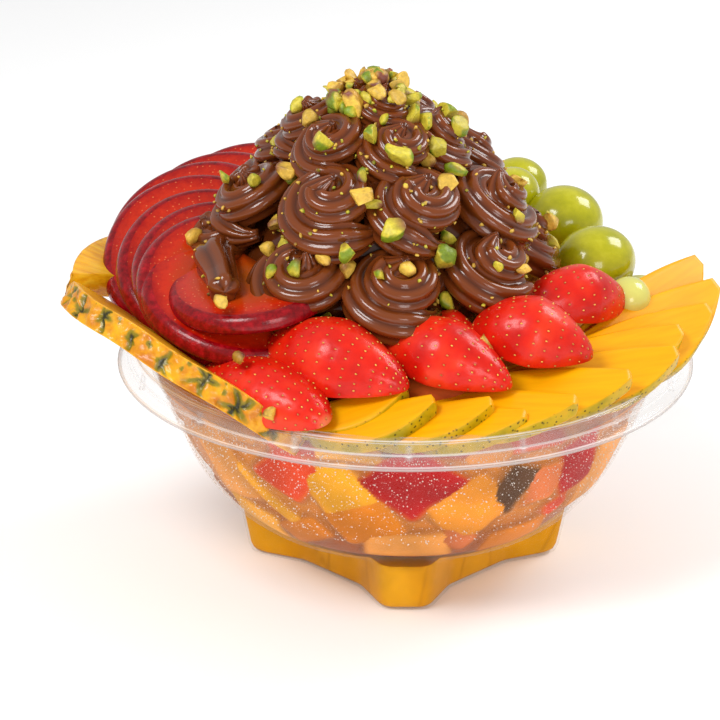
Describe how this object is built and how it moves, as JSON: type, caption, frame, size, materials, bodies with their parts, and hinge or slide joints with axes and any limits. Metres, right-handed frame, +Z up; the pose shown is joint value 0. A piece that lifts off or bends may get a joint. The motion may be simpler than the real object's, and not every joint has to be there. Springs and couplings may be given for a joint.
{
  "type": "fruit salad cup",
  "caption": "Clear footed bowl of cut fruit under fanned slices, halved berries and whole grapes, topped with a mound of piped chocolate cream and chopped nuts.",
  "frame": {"origin": "centre of the flat underside of the bowl's foot", "axes": "+Z up; the front of the cup, where the mango and strawberries lie, faces -Y; +X to the right as seen from the front, towards the grapes"},
  "size_m": [0.2115, 0.186, 0.1619],
  "materials": {
    "bowl": "clear smooth thin plastic sheet, misted with droplets inside",
    "mango_flesh": "moist deep yellow fruit flesh",
    "mixed_fruit": "wet cut fruit of mixed yellow, orange and red",
    "chocolate_cream": "glossy smooth piped chocolate cream with green and tan nut bits",
    "papaya": "moist orange fruit flesh",
    "pineapple": "moist yellow flesh with an orange and green rind",
    "plum": "wet red flesh with a glossy dark red skin",
    "strawberry": "glossy red skin pitted with small seeds",
    "mango_slice": "moist yellow flesh with a speckled green skin edge",
    "grape": "smooth translucent green skin"
  },
  "bodies": {
    "root": {"bowl": "bowl", "mango_layer": "mango_flesh", "fruit_chunks": "mixed_fruit", "chocolate_cream": "chocolate_cream", "papaya_piece": "papaya", "pineapple_slice_front": "pineapple", "pineapple_slice_rear": "pineapple", "plum_slice_1": "plum", "plum_slice_2": "plum", "plum_slice_3": "plum", "plum_slice_4": "plum", "plum_slice_5": "plum", "plum_slice_6": "plum", "plum_slice_7": "plum", "plum_slice_8": "plum", "plum_slice_9": "plum", "strawberry_half_1": "strawberry", "strawberry_half_2": "strawberry", "strawberry_half_3": "strawberry", "strawberry_half_4": "strawberry", "strawberry_half_5": "strawberry", "strawberry_half_6": "strawberry", "mango_slice_1": "mango_slice", "mango_slice_2": "mango_slice", "mango_slice_3": "mango_slice", "mango_slice_4": "mango_slice", "mango_slice_5": "mango_slice", "mango_slice_6": "mango_slice", "mango_slice_7": "mango_slice", "mango_slice_8": "mango_slice", "mango_slice_9": "mango_slice", "mango_slice_10": "mango_slice", "mango_slice_11": "mango_slice", "grape_1": "grape", "grape_2": "grape", "grape_3": "grape", "grape_4": "grape", "grape_5": "grape", "grape_6": "grape", "grape_7": "grape", "grape_8": "grape", "grape_9": "grape", "grape_10": "grape"}
  },
  "joints": []
}
